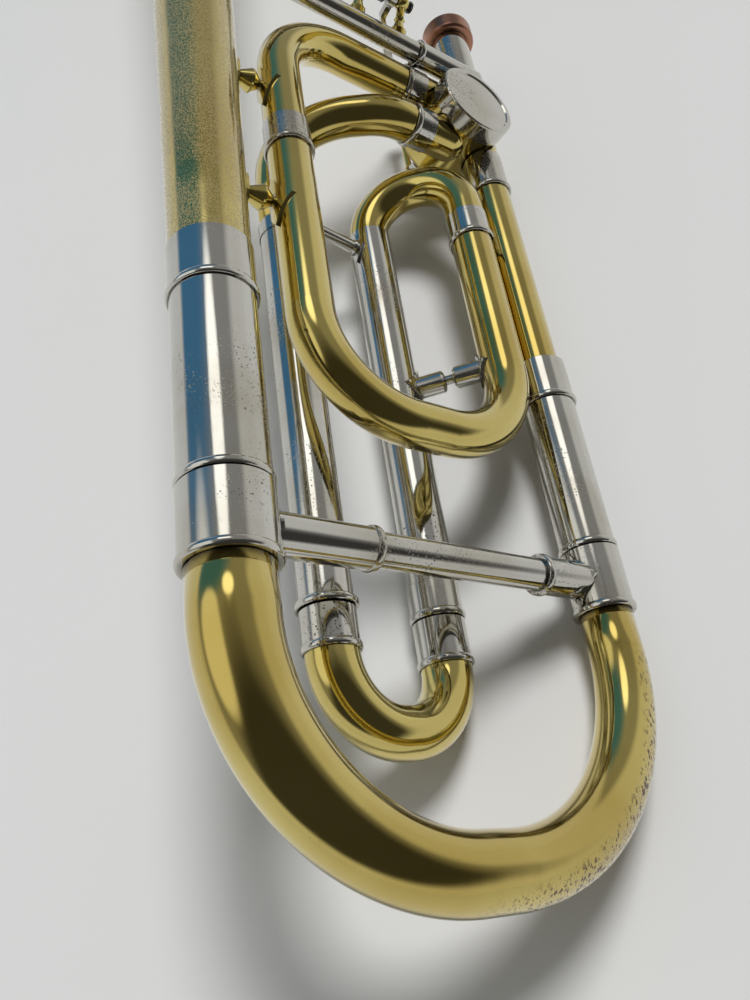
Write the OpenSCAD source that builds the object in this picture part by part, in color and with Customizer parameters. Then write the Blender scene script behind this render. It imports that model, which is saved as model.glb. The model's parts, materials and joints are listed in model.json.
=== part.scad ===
// Bell section of a tenor trombone with a thumb valve, lying on a table without its hand slide.
// The instrument is drawn in its own frame and then laid down: X runs from the bell's axis to the
// valve leg, Y along the tubes towards the bell's mouth, and Z square to the bell's plane.

/* [Main tuning slide] */
// Distance between the axes of the bell leg and the valve leg
leg_spacing = 120; // [114:1:128]
// Radius of the two quarter bends of the main bow
bow_r = 55.5; // [50:0.5:56.5]
// Outer diameter of the crook at the bell leg
crook_bell_d = 21; // [20:0.1:21.4]
// Outer diameter of the crook at the valve leg
crook_valve_d = 15.6; // [15:0.1:16]
// Straight crook below its ferrules
crook_stub = 11; // [9:0.5:16]
// Length of the ferrules on the crook's ends
crook_ferrule_len = 20; // [18:0.5:26]
// Outer diameter of the bell-side sleeve
bell_sleeve_d = 22.9; // [22.9:0.1:24]
// Outer diameter of the valve-side sleeve
valve_sleeve_d = 16.9; // [16.9:0.1:17.6]
// Bare length of the bell-side sleeve, from its mouth to its ferrule
bell_sleeve_len = 55.5; // [45:0.5:60]
// Bare length of the valve-side sleeve, from its mouth to its ferrule
valve_sleeve_len = 53; // [45:0.5:60]
// Length of the ferrule between the bell and its sleeve
bell_ferrule_len = 17; // [12:0.5:22]
// Length of the ferrule between the outlet tube and its sleeve
valve_ferrule_len = 16; // [12:0.5:22]
// Length of the inner legs above the crook ferrules
main_leg_len = 54; // [40:1:56]
// Outer diameter of the tuning slide's brace tube
slide_brace_d = 9.5; // [8:0.1:10.5]
// Length of the brace socket on the bell side
brace_bell_socket_len = 28; // [16:1:34]
// Length of the brace socket on the valve side
brace_valve_socket_len = 16; // [12:1:24]

/* [Bell] */
// Diameter of the bell across its rim
bell_d = 216; // [200:1:230]
// Length of the bell from its ferrule to its rim
bell_len = 596; // [560:1:640]
// Outer diameter of the bell's stem at its ferrule
bell_stem_d = 22.6; // [22:0.1:23]
// Power of the flare's curve
bell_flare = 0.7; // [0.6:0.01:0.8]
// Thickness of the bell's wall
bell_wall = 0.6; // [0.5:0.05:0.9]
// Diameter of the rolled rim
rim_bead_d = 4.6; // [4:0.1:5.5]
// Diameter of the wire in the rolled rim
rim_wire_d = 2.8; // [2:0.1:3]

/* [Valve] */
// Distance of the rotor's axis from the valve leg's axis
valve_offset = 10; // [9:0.5:11]
// Place of the rotor's axis along the tubes
valve_y = 215; // [212:0.5:222]
// Diameter of the rotor
rotor_d = 26; // [25.4:0.1:26.6]
// Height of the rotor
rotor_h = 20; // [18:0.5:21]
// Thickness of the casing's wall
casing_wall = 2.2; // [1.8:0.1:2.6]
// Diameter of the rotor's two passages
passage_d = 11.6; // [10:0.1:12]
// Diameter of the rotor's spindle
spindle_d = 6; // [5:0.1:6.5]
// Diameter of the screw cap
cap_d = 32; // [31.6:0.1:34]
// Height of the screw cap
cap_h = 7; // [5:0.1:7.4]
// Distance of the F ports from the rotor's axis
port_offset = 11; // [10.5:0.1:12.2]
// Distance from the rotor's axis at which the knuckles leave the casing
knuckle_at = 7; // [6:0.1:8]
// Radius at which the link joins the stop arm
stop_arm_r = 12; // [11:0.1:13]

/* [Neckpipe] */
// Outer diameter of the neckpipe
neckpipe_d = 15.6; // [15.5:0.1:16.4]
// Bore that takes the hand slide's tenon
receiver_bore_d = 13.8; // [12.8:0.1:14]
// Place of the neckpipe's open end along the tubes
neckpipe_end = 282; // [276:1:310]
// Diameter of the copper collar
collar_d = 21.2; // [19:0.1:24]
// Length of the copper collar
collar_len = 8.5; // [7:0.5:16]

/* [F attachment] */
// Outer diameter of the F tubing
tube_d = 14.4; // [14.1:0.1:14.5]
// Wall of the brass tubing
tube_wall = 0.5; // [0.4:0.05:0.7]
// Distance of the loop's left leg from the bell's axis
loop_left_x = 30; // [28:0.5:33]
// Distance between the loop's right leg and the valve leg
loop_right_gap = 17; // [16.5:0.1:18]
// Distance of the F slide's right leg from the valve leg
f_right_gap = 40; // [36:0.5:44]
// Depth of the F slide's right leg below the bell's plane
f_right_depth = 28; // [26:0.5:32]
// Distance of the F slide's left leg from the loop's left leg
f_left_gap = 9; // [4:0.5:11]
// Depth of the F slide's left leg below the bell's plane
f_left_depth = 23.5; // [20:0.5:26]
// Place where the loop's bottom bend begins
loop_bottom_y = 94; // [84:0.5:104]
// Radius of the loop's two bottom quarter bends
loop_bend_r = 30.5; // [24:0.5:33]
// Lower end of the loop's left ferrule
loop_left_ferrule_y = 158; // [150:0.5:164]
// Distance from the top bend's start down to the loop's right ferrule
loop_right_ferrule_drop = 17.5; // [16.5:0.5:24]
// Length of the loop's ferrules
loop_ferrule_len = 12; // [8:0.5:14]
// Distance from the rotor's axis down to the bend at the top of the wrap
top_bend_drop = 47; // [46:0.5:50]
// Bend radius of the tube that leaves the upper port
port_bend_r = 28; // [20:0.5:29]
// Bend radius of the return tube onto the F slide's left leg
return_bend_r = 30; // [20:0.5:31]
// Radius of the return tube's dip below the bell's plane
dip_r = 28; // [20:1:32]
// Length of the ferrules on the F ports
port_ferrule_len = 9; // [7:0.5:10]

/* [F tuning slide] */
// Outer diameter of the F slide's sleeves
f_sleeve_d = 15.2; // [15.2:0.1:15.6]
// Place where the F crook's bend begins
f_crook_y = 2; // [0:0.5:6]
// Straight between the F crook's two bends
f_crook_flat = 2; // [0:0.5:10]
// Length of the F crook's right ferrule
f_right_ferrule_len = 14; // [10:0.5:18]
// Length of the F crook's left ferrule
f_left_ferrule_len = 12; // [10:0.5:16]
// Length of the inner legs above their ferrules
f_leg_len = 68; // [50:1:72]
// Length of the wide mouth of the right sleeve
f_mouth_len = 11; // [6:0.5:16]
// Distance from the strut between the F legs down to the left sleeve's upper end
f_left_sleeve_drop = 8; // [7.5:0.5:50]

/* [Braces] */
// Diameter of the hand brace
hand_brace_d = 7.8; // [6.6:0.1:8]
// Distance of the hand brace beyond the rotor's axis
hand_brace_reach = 21; // [20.5:0.1:22.5]
// Height of the hand brace above the bell's plane
hand_brace_rise = 9; // [8.6:0.1:9.6]
// Length of the hand brace's socket at the bell
hand_bell_socket_len = 20; // [14:0.5:24]
// Length of the hand brace's socket at the neckpipe
hand_neck_socket_len = 28; // [22:0.5:30]
// Place of the lower strut between bell and loop
bell_strut_low_y = 133.5; // [120:0.5:140]
// Distance from the rotor's axis down to the upper strut between bell and loop
bell_strut_high_drop = 28.5; // [26.5:0.5:32]
// Place of the strut between loop and F slide
loop_strut_y = 97.5; // [95:0.5:110]
// Distance from the top bend's start down to the strut between the two F legs
leg_strut_drop = 8; // [7.5:0.5:30]

/* [Trigger] */
// Distance of the middle of the lever's pivot from the neckpipe's axis
pivot_reach = 50; // [46:0.5:56]
// Distance between the two pivot posts
post_spacing = 18.5; // [17.5:0.1:22]
// Length of the pivot posts from the hand brace's axis
post_len = 16; // [14:0.1:18]
// Lean of the posts from the bell's plane
post_lean = 27; // [20:1:32]
// Diameter of the pivot rod
pivot_d = 3; // [2.6:0.1:3.2]
// Depth of the link below the bell's plane
link_depth = 21; // [20:0.1:24]
// Diameter of the link rod
link_d = 2.8; // [2.2:0.1:3.2]
// Width of the thumb paddle
paddle_w = 26; // [20:0.5:30]
// Length of the thumb paddle
paddle_len = 14; // [10:0.5:18]
// Number of curls of the lever's spring
spring_curls = 5; // [4:1:6]
// Thickness of the spring's wire
spring_wire_d = 0.75; // [0.6:0.05:0.85]
// Free gap between the spring's curls
spring_gap = 0.45; // [0.42:0.01:0.5]

/* [Hidden] */
$fn = 64;

brass = "#b59a4c";
nickel = "#b9b8b0";
copper = "#b4705a";
steel = "#4b4a4c";
cork = "#b08a5c";

// Clearances: soldered joints, running fits, and faces that stay apart
solder_gap = 0.05;
run_gap = 0.03;
seat_gap = 0.3;

// Walls and rings shared by the fittings
sleeve_wall = 0.6;
ferrule_wall = 0.4;
ring_h = 0.55;
ring_w = 1.1;
edge = 0.25;
foot_t = 0.9;

tube_r = tube_d / 2;
bore_r = tube_r - tube_wall;

// Main tuning slide
mouth_y = crook_stub + crook_ferrule_len;
bell_sleeve_r = bell_sleeve_d / 2;
valve_sleeve_r = valve_sleeve_d / 2;
bell_leg_r = bell_sleeve_r - sleeve_wall - run_gap;
valve_leg_r = valve_sleeve_r - sleeve_wall - run_gap;
crook_joint_y = crook_stub + crook_ferrule_len / 2;
main_leg_top = mouth_y + main_leg_len;
bell_ferrule_y = mouth_y + bell_sleeve_len;
valve_ferrule_y = mouth_y + valve_sleeve_len;
bell_joint_y = bell_ferrule_y + bell_ferrule_len / 2;
valve_joint_y = valve_ferrule_y + valve_ferrule_len / 2;
brace_y = crook_stub + crook_ferrule_len / 2;
bell_cuff_r = bell_sleeve_r + ferrule_wall;
valve_cuff_r = valve_sleeve_r + ferrule_wall;
slide_brace_r = slide_brace_d / 2;
brace_socket_r = slide_brace_r + 0.85;
socket_depth = 7;

// Bell
rim_r = bell_d / 2;
bell_start_y = bell_ferrule_y + bell_ferrule_len;
rim_y = bell_start_y + bell_len;
stem_r = bell_stem_d / 2;
bell_y0 = bell_joint_y + solder_gap;
bell_steps = 44;
flare_d0 = bell_len / (pow(rim_r / stem_r, 1 / bell_flare) - 1);
rim_bead_r = rim_bead_d / 2;
function bell_r(y) = rim_r * pow(flare_d0 / (rim_y - y + flare_d0), bell_flare);
function bell_slope(y) = bell_flare * bell_r(y) / (rim_y - y + flare_d0);
function bell_in(y) = bell_r(y) - bell_wall * sqrt(1 + pow(bell_slope(y), 2));

// Valve
valve_x = leg_spacing - valve_offset;
rotor_r = rotor_d / 2;
casing_bore_r = rotor_r + run_gap;
casing_r = casing_bore_r + casing_wall;
casing_floor = 3.6;
rotor_end_gap = 0.3;
casing_bottom = -rotor_h / 2 - rotor_end_gap - casing_floor;
bearing_z = rotor_h / 2 + rotor_end_gap;
bearing_t = 2.2;
casing_top = bearing_z + bearing_t;
bearing_ledge = 0.9;
cap_r = cap_d / 2;
cap_plate = 2.7;
cap_z = casing_top + solder_gap + cap_plate - cap_h;
cap_top = cap_z + cap_h;
spindle_r = spindle_d / 2;
passage_r = passage_d / 2;
passage_web = 0.6;
port_at = rotor_r * cos(45);
passage_bend_r = (pow(port_at - passage_r - passage_web / 2, 2) + pow(port_at, 2))
    / (2 * (port_at - passage_r - passage_web / 2));
passage_x = passage_bend_r + passage_r + passage_web / 2;

// Knuckle joints, at the middle of the ferrules that cover them
port_knuckle_end = casing_r + 1.1;
main_knuckle_end = casing_r + solder_gap;
port_ferrule_x = valve_x - port_knuckle_end - port_ferrule_len;
port_joint_x = port_ferrule_x + port_ferrule_len / 2;
outlet_ferrule_len = 17.5;
outlet_ferrule_y = valve_y - main_knuckle_end - outlet_ferrule_len;
outlet_joint_y = outlet_ferrule_y + outlet_ferrule_len / 2;
neck_knuckle_len = 5;
neck_joint_y = valve_y + main_knuckle_end + neck_knuckle_len;

// Neckpipe
neck_r = neckpipe_d / 2;
receiver_r = receiver_bore_d / 2;
collar_r = collar_d / 2;
collar_y = neckpipe_end - collar_len - 1;

// F attachment: each leg's place across the tubes, as [x, z]
leg_a = [loop_left_x, 0];
leg_b = [leg_spacing - loop_right_gap, 0];
leg_c = [leg_spacing - f_right_gap, -f_right_depth];
leg_d = [loop_left_x + f_left_gap, -f_left_depth];
upper_port_y = valve_y + port_offset;
lower_port_y = valve_y - port_offset;
top_bend_y = valve_y - top_bend_drop;
loop_right_ferrule_y = top_bend_y - loop_right_ferrule_drop;
leg_strut_y = top_bend_y - leg_strut_drop;
bell_strut_high_y = valve_y - bell_strut_high_drop;
f_left_sleeve_top = leg_strut_y - f_left_sleeve_drop;
cuff_r = tube_r + solder_gap + ferrule_wall;
loop_left_joint = loop_left_ferrule_y + loop_ferrule_len / 2;
loop_right_joint = loop_right_ferrule_y + loop_ferrule_len / 2;
top_bend_r = round(1000 * norm(leg_c - leg_b)) / 2000;
left_joint_y = f_left_sleeve_top - 6;
dip_x = port_ferrule_x - 1;
dip_run = dip_x - leg_d.x;
dip_rise = dip_r - f_left_depth;
dip_angle = asin(dip_r / norm([dip_run, dip_rise])) - atan2(dip_rise, dip_run);
dip_len = (dip_run - dip_r * sin(dip_angle)) / cos(dip_angle);

// F tuning slide
f_sleeve_r = f_sleeve_d / 2;
f_leg_r = f_sleeve_r - tube_wall - run_gap;
f_cuff_r = f_sleeve_r + 0.2;
f_crook_r = (round(1000 * norm(leg_c - leg_d)) / 1000 - f_crook_flat) / 2;
f_crook_tube_r = f_sleeve_r - 0.15;

// Hand brace and trigger
hand_y = valve_y + hand_brace_reach;
hand_z = hand_brace_rise;
hand_r = hand_brace_d / 2;
hand_socket_r = hand_r + 0.8;
hand_bell_x = sqrt(pow(bell_r(hand_y), 2) - pow(hand_z, 2));
hand_bell_end = hand_bell_x + hand_bell_socket_len;
hand_neck_x = leg_spacing - hand_neck_socket_len - 4;
pivot_x = leg_spacing - pivot_reach;
pivot_y = hand_y + post_len * cos(post_lean);
pivot_z = hand_z + post_len * sin(post_lean);
pivot_r = pivot_d / 2;
post_ball_r = pivot_r + 1.5;
post_left = pivot_x - post_spacing / 2;
post_right = pivot_x + post_spacing / 2;
spring_pitch = spring_wire_d + spring_gap;
spring_r = pivot_r + 0.5 + spring_wire_d;
spring_x0 = post_left + post_ball_r + seat_gap;
spring_lead = 2 * spring_wire_d;
spring_len = spring_curls * spring_pitch + 2 * spring_lead;
barrel_x0 = spring_x0 + spring_len + seat_gap;
barrel_x1 = post_right - post_ball_r - seat_gap;
barrel_r = pivot_r + 1.6;

// Link: the lever's swing carries the stop arm a quarter turn
stop_travel = stop_arm_r * sin(45);
link_x = valve_x - stop_travel;
link_drop = pivot_z + link_depth;
lever_swing = atan2(stop_travel, link_drop);
lever_len = norm([stop_travel, link_drop]);
link_rotor_y = valve_y - stop_travel;
link_lever_y = pivot_y - stop_travel;
link_eye_r = 3.2;
link_eye_t = 3;
link_pin_r = 1.5;
lever_tab_t = 1.6;
lever_tab_x = link_x - link_eye_t / 2 - seat_gap - lever_tab_t;
lever_arm_t = 3;
paddle_lean = 29;
paddle_at = 12;
paddle_t = 1.8;
stop_arm_t = 2.8;
stop_plate_t = 1.2;
stop_arm_z = casing_bottom - stop_plate_t - 0.4;
cork_r = 2.2;
cork_at = 10;
finger_w = 4;
stop_screw_r = 1.5;
boss_drop = 0.6;
cork_angle = 45 + asin((cork_r + finger_w / 2 + 0.15) / cork_at);

// Laying down: the bell's rim, the F slide's right ring and the main slide's right ring touch
rest_c_r = f_cuff_r + ring_h;
rest_m_r = valve_cuff_r + ring_h;
rest_c_y = f_crook_y + ring_w;
rest_m_y = crook_stub + ring_w;
rest_dx = leg_spacing - leg_c.x;
rest_dz = leg_c.y;
function roll_at(p) = asin((rest_c_r - rest_m_r + (rest_m_y - rest_c_y) * tan(p)) / norm([rest_dx, rest_dz]))
    - atan2(rest_dz, rest_dx);
function pitch_at(r) = atan2(leg_c.y * cos(r) - leg_c.x * sin(r) - rest_c_r + rim_r + rim_bead_r,
    rim_y - rest_c_y);
pitch = pitch_at(roll_at(pitch_at(roll_at(0))));
roll = roll_at(pitch);
lay_x = ((valve_x + cap_r) * cos(roll) + cap_top * sin(roll) - rim_r - rim_bead_r) / 2;
bow_low_y = -(bow_r + (crook_bell_d + crook_valve_d) / 4) * cos(pitch)
    + leg_spacing / 2 * sin(roll) * sin(pitch);
lay_y = (rim_y * cos(pitch) + rim_r * sin(pitch) + rim_bead_r + bow_low_y) / 2;
lay_z = rim_r * cos(pitch) + rim_bead_r - rim_y * sin(pitch);

module laid() {
    translate([-lay_x, -lay_y, lay_z])
        rotate([pitch, 0, 0])
            rotate([0, roll, 0])
                children();
}

// Half-round ring on a turned outline, centred at y
function ring(r, y) = [for (a = [-90 : 18 : 90]) [r + ring_h * cos(a), y + ring_w * sin(a)]];

// Turns an outline of [radius, y] points about a leg's axis
module turned(leg, points) {
    translate([leg.x, 0, leg.y])
        rotate([-90, 0, 0])
            rotate_extrude()
                polygon(points);
}

// Straight tube along Y
module tube(leg, y0, y1, r, wall) {
    translate([leg.x, y0, leg.y])
        rotate([-90, 0, 0])
            linear_extrude(y1 - y0)
                pipe_end(r, wall);
}

module pipe_end(r, wall) {
    difference() {
        circle(r);
        circle(r - wall);
    }
}

// Quarter or part bend in the XY plane about the origin, from start degrees
module bend(bend_radius, r, wall, start, angle) {
    rotate([0, 0, start])
        rotate_extrude(angle = angle)
            translate([bend_radius, 0])
                pipe_end(r, wall);
}

// Hairpin between two legs, towards +Y (side 1) or -Y (side -1), with a straight on each leg
module hairpin(from, to, y, side, bend_radius, r, wall, from_len, to_len) {
    span = round(1000 * norm(to - from)) / 1000;
    translate([from.x, y, from.y])
        rotate([0, -atan2(to.y - from.y, to.x - from.x), 0])
            scale_y(side) {
                translate([bend_radius, 0, 0])
                    bend(bend_radius, r, wall, 90, 90);
                translate([span - bend_radius, 0, 0])
                    bend(bend_radius, r, wall, 0, 90);
                if (span - 2 * bend_radius > 0.01)
                    translate([bend_radius, bend_radius, 0])
                        rotate([0, 90, 0])
                            linear_extrude(span - 2 * bend_radius)
                                pipe_end(r, wall);
                if (from_len > 0)
                    tube([0, 0], -from_len, 0, r, wall);
                if (to_len > 0)
                    tube([span, 0], -to_len, 0, r, wall);
            }
}

module scale_y(side) {
    if (side > 0)
        children();
    else
        mirror([0, 1, 0])
            children();
}

// Ferrule with a ring at its lower end and two bores that meet at y_joint
module ferrule(leg, y0, y1, r, bore_low, bore_high, y_joint) {
    turned(leg, concat(
        [[bore_low, y0]], ring(r, y0 + ring_w),
        [[r, y1 - edge], [r - edge, y1], [bore_high, y1], [bore_high, y_joint], [bore_low, y_joint]]));
}

// Sleeve with a ring round its mouth
module sleeve(leg, y0, y1, r, wall) {
    turned(leg, concat(
        [[r - wall, y0]], ring(r, y0 + ring_w), [[r, y1], [r - wall, y1]]));
}

// Frame of a strut: local Z runs from one leg's axis to the other's, local Y along the tubes
module spanning(from, to, y) {
    translate([from.x, y, from.y])
        rotate([0, atan2(to.x - from.x, to.y - from.y), 0])
            children();
}

module rod_along_y(r, len) {
    rotate([90, 0, 0])
        cylinder(r = r, h = len, center = true);
}

// Diamond saddle on a tube about local Y
module saddle(r, len, width) {
    intersection() {
        rod_along_y(r + solder_gap + foot_t, len + 4);
        linear_extrude(2 * r)
            polygon([[width / 2, 0], [0, len / 2], [-width / 2, 0], [0, -len / 2]]);
    }
}

// Turned strut with a diamond saddle at each end
module strut(from, to, y, r_from, r_to, outline, saddle_len, saddle_w) {
    span = norm(to - from);
    spanning(from, to, y)
        difference() {
            union() {
                saddle(r_from, saddle_len, saddle_w);
                translate([0, 0, span])
                    mirror([0, 0, 1])
                        saddle(r_to, saddle_len, saddle_w);
                rotate_extrude()
                    polygon(outline);
            }
            rod_along_y(r_from + solder_gap, 2 * saddle_len);
            translate([0, 0, span])
                rod_along_y(r_to + solder_gap, 2 * saddle_len);
        }
}

// Cone that clears the bell's wall around a place on it
module bell_clear(y, half, gap) {
    translate([0, y - half, 0])
        rotate([-90, 0, 0])
            cylinder(r1 = bell_r(y - half) + gap, r2 = bell_r(y + half) + gap, h = 2 * half);
}

function oval(len, width) = [for (a = [0 : 15 : 345]) [width / 2 * cos(a), len / 2 * sin(a)]];

// Oval foot on the bell's wall, for an outline drawn square to X
module bell_foot(y, len, width) {
    intersection() {
        bell_clear(y, len, solder_gap + foot_t);
        translate([0, y, 0])
            rotate([0, 90, 0])
                linear_extrude(2 * bell_r(y))
                    polygon(oval(len, width));
    }
}

module bell() {
    ys = [for (i = [0 : bell_steps]) rim_y - (rim_y - bell_y0) * pow(1 - i / bell_steps, 2)];
    outer = [for (y = ys) [bell_r(y), y]];
    inner = [for (i = [bell_steps : -1 : 0]) [bell_in(ys[i]), ys[i]]];
    color(brass)
        laid()
            rotate([-90, 0, 0])
                rotate_extrude()
                    difference() {
                        union() {
                            polygon(concat(outer, inner));
                            translate([rim_r, rim_y])
                                circle(rim_bead_r);
                        }
                        translate([rim_r, rim_y])
                            circle(rim_wire_d / 2 + solder_gap);
                    }
}

module bell_rim_wire() {
    color(steel)
        laid()
            translate([0, rim_y, 0])
                rotate([-90, 0, 0])
                    rotate_extrude()
                        translate([rim_r, 0])
                            circle(rim_wire_d / 2);
}

module bell_ferrule() {
    color(nickel)
        laid()
            ferrule([0, 0], bell_ferrule_y, bell_start_y, bell_cuff_r, bell_sleeve_r + solder_gap,
                max(bell_r(bell_start_y), stem_r) + solder_gap, bell_joint_y);
}

module bell_sleeve() {
    color(nickel)
        laid()
            sleeve([0, 0], mouth_y, bell_joint_y, bell_sleeve_r, sleeve_wall);
}

module valve_sleeve() {
    color(nickel)
        laid()
            sleeve([leg_spacing, 0], mouth_y, valve_joint_y, valve_sleeve_r, sleeve_wall);
}

module valve_ferrule() {
    color(nickel)
        laid()
            ferrule([leg_spacing, 0], valve_ferrule_y, valve_ferrule_y + valve_ferrule_len, valve_cuff_r,
                valve_sleeve_r + solder_gap, tube_r + solder_gap, valve_joint_y);
}

module outlet_tube() {
    color(brass)
        laid()
            tube([leg_spacing, 0], valve_joint_y + solder_gap, outlet_joint_y, tube_r, tube_wall);
}

module outlet_ferrule() {
    color(nickel)
        laid()
            ferrule([leg_spacing, 0], outlet_ferrule_y, outlet_ferrule_y + outlet_ferrule_len, cuff_r,
                tube_r + solder_gap, tube_r + solder_gap, outlet_joint_y);
}

// Knuckle of the casing, leaving along +X at offset from the rotor's axis, ending at reach
module knuckle(offset, r, reach, round_back) {
    translate([knuckle_at, offset, 0]) {
        rotate([0, 90, 0])
            cylinder(r = r, h = reach - knuckle_at);
        if (round_back)
            sphere(r);
    }
}

// The four knuckles: two F ports, the way in from the neckpipe and the way out
module knuckles(r, more, round_back) {
    mirror([1, 0, 0])
        knuckle(port_offset, r, valve_x - port_joint_x + more, round_back);
    rotate([0, 0, 180])
        knuckle(port_offset, r, valve_x - port_joint_x + more, round_back);
    mirror([1, -1, 0])
        knuckle(valve_offset, r, neck_joint_y - valve_y + more, round_back);
    rotate([0, 0, -90])
        knuckle(valve_offset, r, valve_y - outlet_joint_y + more, round_back);
}

module valve_casing() {
    color(brass)
        laid()
            translate([valve_x, valve_y, 0])
                difference() {
                    union() {
                        translate([0, 0, casing_bottom])
                            cylinder(r = casing_r, h = casing_top - casing_bottom);
                        knuckles(tube_r, -solder_gap, true);
                    }
                    translate([0, 0, casing_bottom + casing_floor])
                        cylinder(r = casing_bore_r, h = casing_top - casing_bottom);
                    translate([0, 0, bearing_z])
                        cylinder(r = casing_bore_r + bearing_ledge, h = casing_top);
                    translate([0, 0, casing_bottom - 1])
                        cylinder(r = spindle_r + run_gap, h = casing_floor + 2);
                    knuckles(bore_r, 1, false);
                }
}

module bearing_plate() {
    color(brass)
        laid()
            translate([valve_x, valve_y, bearing_z])
                difference() {
                    cylinder(r = casing_bore_r + bearing_ledge - solder_gap, h = bearing_t);
                    translate([0, 0, -1])
                        cylinder(r = spindle_r + run_gap, h = bearing_t + 2);
                }
}

module valve_cap() {
    inner = casing_r + solder_gap;
    rim = 1.6;
    dish = 0.5;
    under = cap_h - cap_plate;
    round_r = rim / 2;
    rounded = [for (a = [0 : 18 : 90])
        [cap_r - round_r + round_r * cos(a), cap_h - round_r + round_r * sin(a)]];
    color(nickel)
        laid()
            translate([valve_x, valve_y, cap_z])
                rotate_extrude()
                    polygon(concat(
                        [[0, cap_h - dish], [0, under], [inner, under], [inner, 0], [cap_r, 0]],
                        rounded,
                        [[cap_r - rim - dish, cap_h], [cap_r - rim - 2 * dish, cap_h - dish]]));
}

module stop_plate() {
    hole_r = spindle_r + 3.4;
    color(brass)
        laid()
            translate([valve_x, valve_y, casing_bottom - solder_gap])
                difference() {
                    translate([0, 0, -stop_plate_t])
                        cylinder(r = casing_r - 0.8, h = stop_plate_t);
                    translate([0, 0, -stop_plate_t - 1])
                        cylinder(r = hole_r, h = stop_plate_t + 2);
                    for (side = [-1, 1])
                        rotate([0, 0, side * cork_angle])
                            translate([cork_at, 0, -stop_plate_t - 1])
                                cylinder(r = cork_r - 0.6 + solder_gap, h = stop_plate_t + 2);
                }
}

module stop_corks() {
    top = casing_bottom - solder_gap;
    seat = top - stop_plate_t - solder_gap;
    color(cork)
        laid()
            translate([valve_x, valve_y, 0])
                for (side = [-1, 1])
                    rotate([0, 0, side * cork_angle])
                        translate([cork_at, 0, 0]) {
                            translate([0, 0, stop_arm_z - stop_arm_t])
                                cylinder(r = cork_r, h = seat - stop_arm_z + stop_arm_t);
                            translate([0, 0, seat - 0.1])
                                cylinder(r = cork_r - 0.6, h = top - seat);
                        }
}

module neckpipe() {
    color(nickel)
        laid()
            turned([leg_spacing, 0], [
                [tube_r + solder_gap, valve_y + main_knuckle_end], [neck_r, valve_y + main_knuckle_end],
                [neck_r, neckpipe_end], [receiver_r, neckpipe_end],
                [receiver_r, neck_joint_y], [tube_r + solder_gap, neck_joint_y]]);
}

module receiver_collar() {
    bore = neck_r + solder_gap;
    round_r = 1.5;
    edge = collar_r - round_r;
    near = collar_y + round_r;
    far = collar_y + collar_len - round_r;
    color(copper)
        laid()
            turned([leg_spacing, 0], concat(
                [[bore, collar_y]],
                [for (a = [-90 : 22.5 : 0]) [edge + round_r * cos(a), near + round_r * sin(a)]],
                [for (a = [0 : 22.5 : 90]) [edge + round_r * cos(a), far + round_r * sin(a)]],
                [[bore, collar_y + collar_len]]));
}

// Ferrule of an F port, along X, with its ring at the end away from the valve
module port_ferrule(y) {
    translate([0, y, 0])
        rotate([0, 0, -90])
            ferrule([0, 0], port_ferrule_x, port_ferrule_x + port_ferrule_len - solder_gap, cuff_r,
                tube_r + solder_gap, tube_r + solder_gap, port_joint_x);
}

module upper_port_ferrule() {
    color(nickel)
        laid()
            port_ferrule(upper_port_y);
}

module lower_port_ferrule() {
    color(nickel)
        laid()
            port_ferrule(lower_port_y);
}

// From the upper port along -X, and round onto the loop's left leg
module upper_port_tube() {
    turn_x = leg_a.x + port_bend_r;
    turn_y = upper_port_y - port_bend_r;
    color(brass)
        laid() {
            translate([turn_x, upper_port_y, 0])
                rotate([0, 90, 0])
                    linear_extrude(port_joint_x - turn_x)
                        pipe_end(tube_r, tube_wall);
            translate([turn_x, turn_y, 0])
                bend(port_bend_r, tube_r, tube_wall, 90, 90);
            tube(leg_a, loop_left_joint + solder_gap, turn_y, tube_r, tube_wall);
        }
}

module loop_left_ferrule() {
    color(nickel)
        laid()
            ferrule(leg_a, loop_left_ferrule_y, loop_left_ferrule_y + loop_ferrule_len, cuff_r,
                tube_r + solder_gap, tube_r + solder_gap, loop_left_joint);
}

module loop_tube() {
    color(brass)
        laid()
            hairpin(leg_a, leg_b, loop_bottom_y, -1, loop_bend_r, tube_r, tube_wall,
                loop_left_joint - loop_bottom_y, loop_right_joint - loop_bottom_y);
}

module loop_right_ferrule() {
    color(nickel)
        laid()
            ferrule(leg_b, loop_right_ferrule_y, loop_right_ferrule_y + loop_ferrule_len, cuff_r,
                tube_r + solder_gap, tube_r + solder_gap, loop_right_joint);
}

module top_bend() {
    color(brass)
        laid()
            hairpin(leg_b, leg_c, top_bend_y, 1, top_bend_r, tube_r, tube_wall,
                top_bend_y - loop_right_joint - solder_gap, 0);
}

module f_right_sleeve() {
    wide = f_sleeve_r + 0.25;
    mouth_y0 = f_crook_y + f_right_ferrule_len;
    mouth_top = mouth_y0 + f_mouth_len;
    color(nickel)
        laid()
            turned(leg_c, concat(
                [[f_sleeve_r - tube_wall, mouth_y0]], ring(wide, mouth_y0 + ring_w),
                [[wide, mouth_top], [f_sleeve_r, mouth_top + edge], [f_sleeve_r, top_bend_y - solder_gap],
                [f_sleeve_r - tube_wall, top_bend_y - solder_gap]]));
}

module f_left_sleeve() {
    wide = f_sleeve_r + 0.7;
    mouth_y0 = f_crook_y + f_left_ferrule_len;
    color(nickel)
        laid()
            turned(leg_d, concat(
                [[f_sleeve_r - tube_wall, mouth_y0]], ring(wide, mouth_y0 + ring_w),
                [[f_sleeve_r, mouth_y0 + 2 * ring_w + edge], [f_sleeve_r, left_joint_y],
                [f_sleeve_r + 0.25, left_joint_y], [f_sleeve_r + 0.25, f_left_sleeve_top - edge],
                [f_sleeve_r, f_left_sleeve_top],
                [tube_r + solder_gap, f_left_sleeve_top], [tube_r + solder_gap, left_joint_y],
                [f_sleeve_r - tube_wall, left_joint_y]]));
}

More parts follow.
